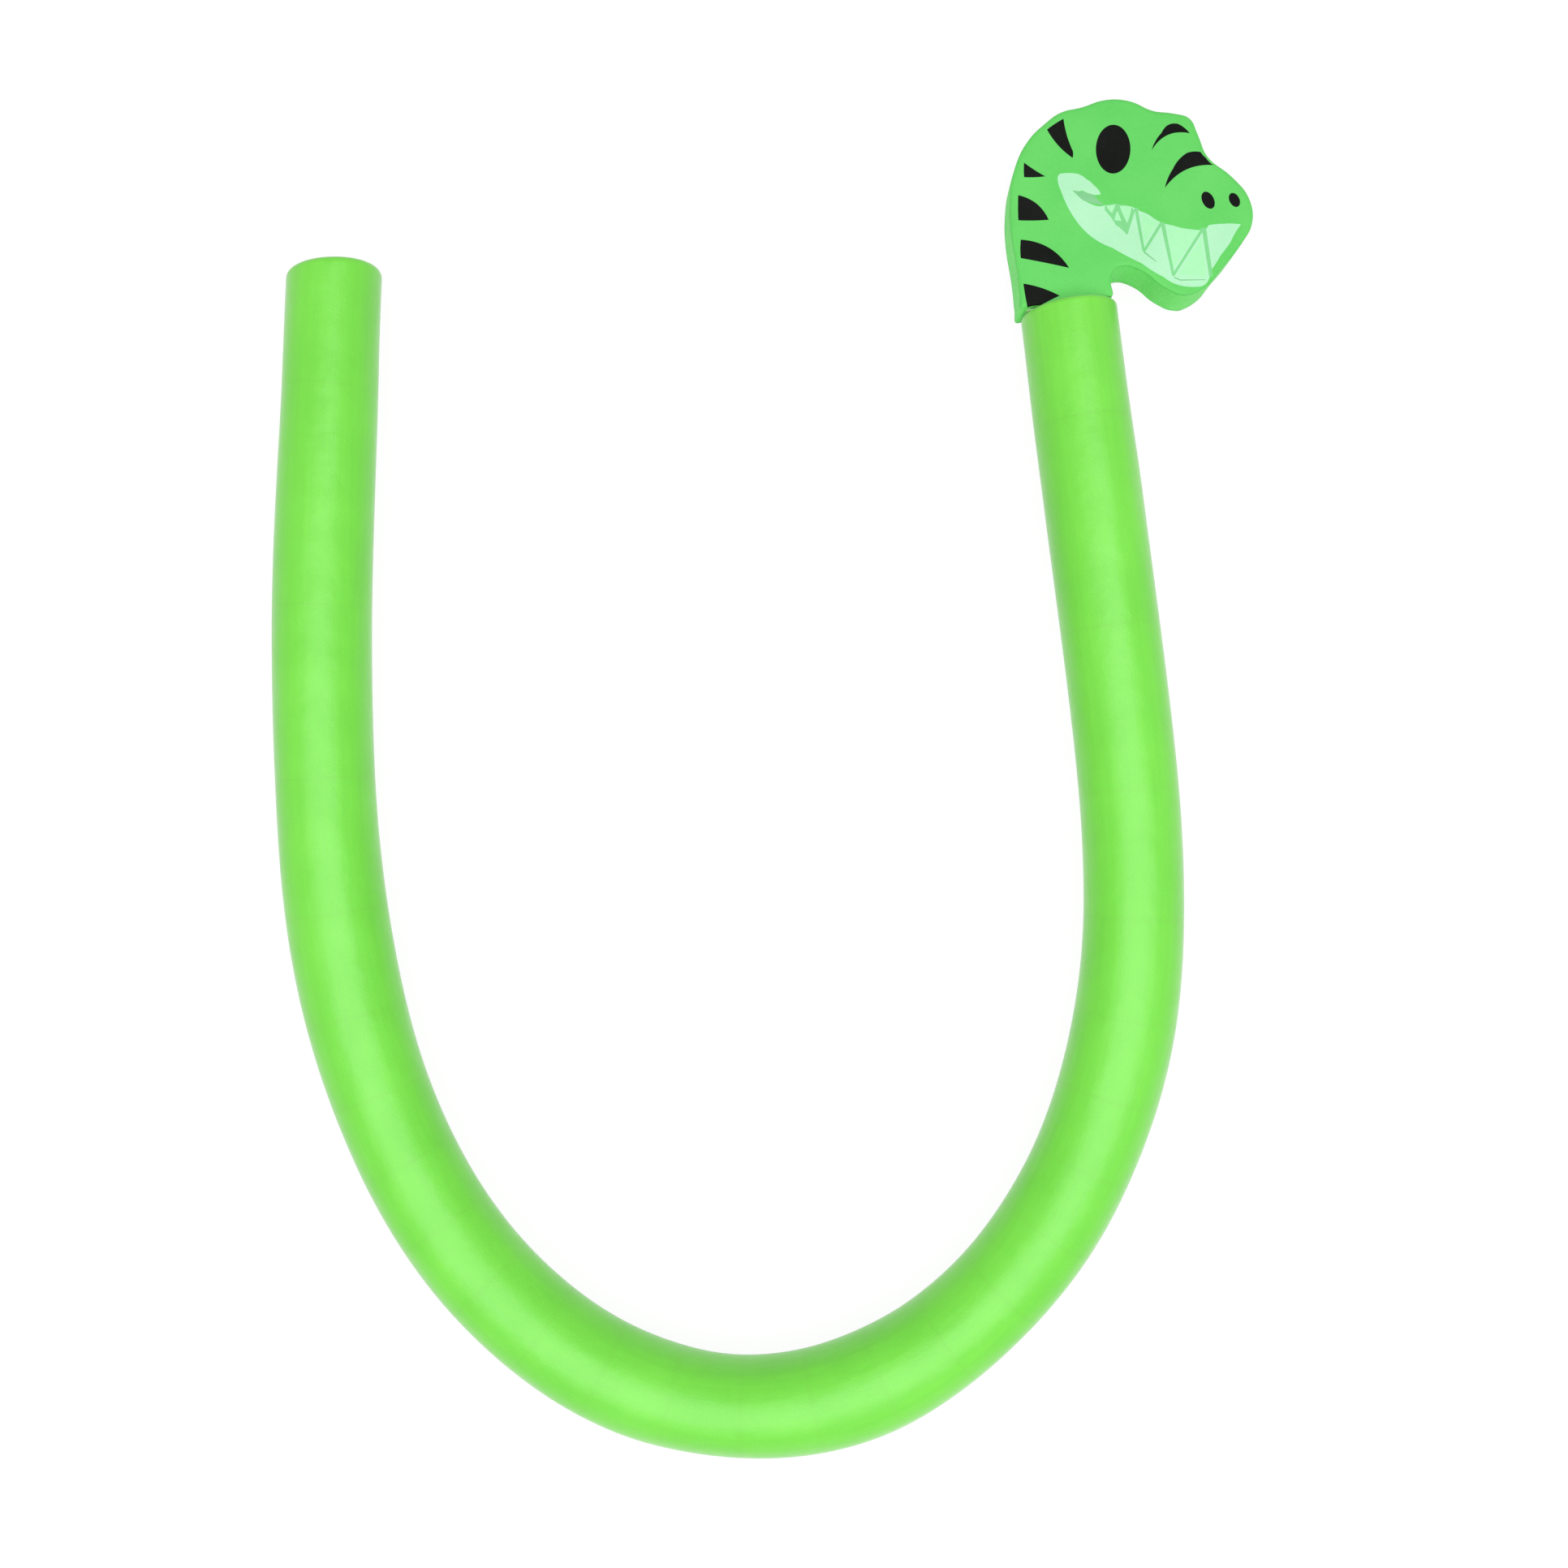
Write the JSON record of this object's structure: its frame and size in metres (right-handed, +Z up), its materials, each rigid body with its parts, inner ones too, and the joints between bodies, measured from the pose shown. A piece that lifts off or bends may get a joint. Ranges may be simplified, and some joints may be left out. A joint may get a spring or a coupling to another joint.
{
  "type": "pool noodle",
  "caption": "Soft foam pool noodle bent into a U, open at one end, with a flat foam animal head glued on the other end.",
  "frame": {"origin": "centre of the bounding box's base, on the surface that the noodle lies on", "axes": "+Z up, out of the plane of the U; +Y from the bottom of the U towards its open side and the head; +X to the right, the way the head looks"},
  "size_m": [0.6048, 0.8272, 0.06],
  "materials": {
    "noodle_foam": "soft closed-cell polyethylene foam, satin extruded skin",
    "head_foam": "cut closed-cell foam, bare on its edges",
    "head_skin": "printed skin on the foam, with a plain dinosaur face",
    "dowel_foam": "plain foam rod, hidden",
    "glue": "hot glue, hidden"
  },
  "bodies": {
    "noodle_middle": {"noodle_middle": "noodle_foam"},
    "left_bow_1": {"left_bow_1": "noodle_foam"},
    "left_bow_2": {"left_bow_2": "noodle_foam"},
    "left_bow_3": {"left_bow_3": "noodle_foam"},
    "left_bow_4": {"left_bow_4": "noodle_foam"},
    "left_bow_5": {"left_bow_5": "noodle_foam"},
    "left_bow_6": {"left_bow_6": "noodle_foam"},
    "left_bow_7": {"left_bow_7": "noodle_foam"},
    "left_leg_1": {"left_leg_1": "noodle_foam"},
    "left_leg_2": {"left_leg_2": "noodle_foam"},
    "left_leg_3": {"left_leg_3": "noodle_foam"},
    "left_leg_4": {"left_leg_4": "noodle_foam"},
    "left_leg_5": {"left_leg_5": "noodle_foam"},
    "right_bow_1": {"right_bow_1": "noodle_foam"},
    "right_bow_2": {"right_bow_2": "noodle_foam"},
    "right_bow_3": {"right_bow_3": "noodle_foam"},
    "right_bow_4": {"right_bow_4": "noodle_foam"},
    "right_bow_5": {"right_bow_5": "noodle_foam"},
    "right_bow_6": {"right_bow_6": "noodle_foam"},
    "right_bow_7": {"right_bow_7": "noodle_foam"},
    "right_leg_1": {"right_leg_1": "noodle_foam"},
    "right_leg_2": {"right_leg_2": "noodle_foam"},
    "right_leg_3": {"right_leg_3": "noodle_foam"},
    "right_leg_4": {"right_leg_4": "noodle_foam"},
    "right_leg_5": {"right_leg_5": "noodle_foam", "joining_dowel": "dowel_foam", "glue_layer": "glue", "head_core": "head_foam", "head_skin_front": "head_skin", "head_skin_back": "head_skin"}
  },
  "joints": [
    {"name": "left_bow_1_flex", "type": "hinge", "parent": "noodle_middle", "child": "left_bow_1", "pos_m": [-0.02863, -0.38218, 0.03], "axis": [0, 0, 1], "range_deg": [-1.96, 13.5], "stiffness_Nm_per_rad": 5.56},
    {"name": "left_bow_2_flex", "type": "hinge", "parent": "left_bow_1", "child": "left_bow_2", "pos_m": [-0.07229, -0.3717, 0.03], "axis": [0, 0, 1], "range_deg": [-1.83, 12.52], "stiffness_Nm_per_rad": 5.56},
    {"name": "left_bow_3_flex", "type": "hinge", "parent": "left_bow_2", "child": "left_bow_3", "pos_m": [-0.11266, -0.35201, 0.03], "axis": [0, 0, 1], "range_deg": [-1.61, 11.02], "stiffness_Nm_per_rad": 5.56},
    {"name": "left_bow_4_flex", "type": "hinge", "parent": "left_bow_3", "child": "left_bow_4", "pos_m": [-0.14855, -0.32496, 0.03], "axis": [0, 0, 1], "range_deg": [-1.4, 9.52], "stiffness_Nm_per_rad": 5.56},
    {"name": "left_bow_5_flex", "type": "hinge", "parent": "left_bow_4", "child": "left_bow_5", "pos_m": [-0.1795, -0.29236, 0.03], "axis": [0, 0, 1], "range_deg": [-1.25, 8.52], "stiffness_Nm_per_rad": 5.56},
    {"name": "left_bow_6_flex", "type": "hinge", "parent": "left_bow_5", "child": "left_bow_6", "pos_m": [-0.20529, -0.25552, 0.03], "axis": [0, 0, 1], "range_deg": [-1.11, 7.52], "stiffness_Nm_per_rad": 5.56},
    {"name": "left_bow_7_flex", "type": "hinge", "parent": "left_bow_6", "child": "left_bow_7", "pos_m": [-0.22605, -0.21563, 0.03], "axis": [0, 0, 1], "range_deg": [-0.96, 6.52], "stiffness_Nm_per_rad": 5.56},
    {"name": "left_leg_1_flex", "type": "hinge", "parent": "left_bow_7", "child": "left_leg_1", "pos_m": [-0.24217, -0.17364, 0.03], "axis": [0, 0, 1], "range_deg": [-1.73, 5.19], "stiffness_Nm_per_rad": 4.9},
    {"name": "left_leg_2_flex", "type": "hinge", "parent": "left_leg_1", "child": "left_leg_2", "pos_m": [-0.2567, -0.11845, 0.03], "axis": [0, 0, 1], "range_deg": [-2.23, 6.64], "stiffness_Nm_per_rad": 3.84},
    {"name": "left_leg_3_flex", "type": "hinge", "parent": "left_leg_2", "child": "left_leg_3", "pos_m": [-0.2675, -0.04619, 0.03], "axis": [0, 0, 1], "range_deg": [-2.84, 8.49], "stiffness_Nm_per_rad": 3},
    {"name": "left_leg_4_flex", "type": "hinge", "parent": "left_leg_3", "child": "left_leg_4", "pos_m": [-0.2724, 0.04721, 0.03], "axis": [0, 0, 1], "range_deg": [-3.63, 10.86], "stiffness_Nm_per_rad": 2.34},
    {"name": "left_leg_5_flex", "type": "hinge", "parent": "left_leg_4", "child": "left_leg_5", "pos_m": [-0.27135, 0.16695, 0.03], "axis": [0, 0, 1], "range_deg": [-4.65, 13.9], "stiffness_Nm_per_rad": 1.83},
    {"name": "right_bow_1_flex", "type": "hinge", "parent": "noodle_middle", "child": "right_bow_1", "pos_m": [0.01626, -0.38218, 0.03], "axis": [0, 0, -1], "range_deg": [-1.83, 13.5], "stiffness_Nm_per_rad": 5.56},
    {"name": "right_bow_2_flex", "type": "hinge", "parent": "right_bow_1", "child": "right_bow_2", "pos_m": [0.05993, -0.3717, 0.03], "axis": [0, 0, -1], "range_deg": [-1.72, 12.52], "stiffness_Nm_per_rad": 5.56},
    {"name": "right_bow_3_flex", "type": "hinge", "parent": "right_bow_2", "child": "right_bow_3", "pos_m": [0.1003, -0.35201, 0.03], "axis": [0, 0, -1], "range_deg": [-1.58, 11.52], "stiffness_Nm_per_rad": 5.56},
    {"name": "right_bow_4_flex", "type": "hinge", "parent": "right_bow_3", "child": "right_bow_4", "pos_m": [0.13594, -0.32466, 0.03], "axis": [0, 0, -1], "range_deg": [-1.44, 10.52], "stiffness_Nm_per_rad": 5.56},
    {"name": "right_bow_5_flex", "type": "hinge", "parent": "right_bow_4", "child": "right_bow_5", "pos_m": [0.16602, -0.29126, 0.03], "axis": [0, 0, -1], "range_deg": [-1.31, 9.52], "stiffness_Nm_per_rad": 5.56},
    {"name": "right_bow_6_flex", "type": "hinge", "parent": "right_bow_5", "child": "right_bow_6", "pos_m": [0.19017, -0.25335, 0.03], "axis": [0, 0, -1], "range_deg": [-1.17, 8.52], "stiffness_Nm_per_rad": 5.56},
    {"name": "right_bow_7_flex", "type": "hinge", "parent": "right_bow_6", "child": "right_bow_7", "pos_m": [0.20846, -0.21227, 0.03], "axis": [0, 0, -1], "range_deg": [-1.07, 7.77], "stiffness_Nm_per_rad": 5.56},
    {"name": "right_leg_1_flex", "type": "hinge", "parent": "right_bow_7", "child": "right_leg_1", "pos_m": [0.22104, -0.1691, 0.03], "axis": [0, 0, -1], "range_deg": [-1.78, 5.34], "stiffness_Nm_per_rad": 5.1},
    {"name": "right_leg_2_flex", "type": "hinge", "parent": "right_leg_1", "child": "right_leg_2", "pos_m": [0.22933, -0.11675, 0.03], "axis": [0, 0, -1], "range_deg": [-2.22, 6.61], "stiffness_Nm_per_rad": 4.13},
    {"name": "right_leg_3_flex", "type": "hinge", "parent": "right_leg_2", "child": "right_leg_3", "pos_m": [0.2314, -0.04895, 0.03], "axis": [0, 0, -1], "range_deg": [-2.83, 8.46], "stiffness_Nm_per_rad": 3.23},
    {"name": "right_leg_4_flex", "type": "hinge", "parent": "right_leg_3", "child": "right_leg_4", "pos_m": [0.22459, 0.03765, 0.03], "axis": [0, 0, -1], "range_deg": [-3.62, 10.82], "stiffness_Nm_per_rad": 2.52},
    {"name": "right_leg_5_flex", "type": "hinge", "parent": "right_leg_4", "child": "right_leg_5", "pos_m": [0.21104, 0.14805, 0.03], "axis": [0, 0, -1], "range_deg": [-4.63, 13.85], "stiffness_Nm_per_rad": 1.97}
  ],
  "couplings": [
    {"joint": "left_bow_2_flex", "follows": "left_bow_1_flex", "ratio": 0.92593},
    {"joint": "left_bow_3_flex", "follows": "left_bow_1_flex", "ratio": 0.81481},
    {"joint": "left_bow_4_flex", "follows": "left_bow_1_flex", "ratio": 0.7037},
    {"joint": "left_bow_5_flex", "follows": "left_bow_1_flex", "ratio": 0.62963},
    {"joint": "left_bow_6_flex", "follows": "left_bow_1_flex", "ratio": 0.55556},
    {"joint": "left_bow_7_flex", "follows": "left_bow_1_flex", "ratio": 0.48148},
    {"joint": "left_leg_2_flex", "follows": "left_leg_1_flex", "ratio": 1.2751},
    {"joint": "left_leg_3_flex", "follows": "left_leg_1_flex", "ratio": 1.6322},
    {"joint": "left_leg_4_flex", "follows": "left_leg_1_flex", "ratio": 2.0892},
    {"joint": "left_leg_5_flex", "follows": "left_leg_1_flex", "ratio": 2.6742},
    {"joint": "right_bow_2_flex", "follows": "right_bow_1_flex", "ratio": 0.92593},
    {"joint": "right_bow_3_flex", "follows": "right_bow_1_flex", "ratio": 0.85185},
    {"joint": "right_bow_4_flex", "follows": "right_bow_1_flex", "ratio": 0.77778},
    {"joint": "right_bow_5_flex", "follows": "right_bow_1_flex", "ratio": 0.7037},
    {"joint": "right_bow_6_flex", "follows": "right_bow_1_flex", "ratio": 0.62963},
    {"joint": "right_bow_7_flex", "follows": "right_bow_1_flex", "ratio": 0.57407},
    {"joint": "right_leg_2_flex", "follows": "right_leg_1_flex", "ratio": 1.2334},
    {"joint": "right_leg_3_flex", "follows": "right_leg_1_flex", "ratio": 1.5788},
    {"joint": "right_leg_4_flex", "follows": "right_leg_1_flex", "ratio": 2.0209},
    {"joint": "right_leg_5_flex", "follows": "right_leg_1_flex", "ratio": 2.5867}
  ]
}
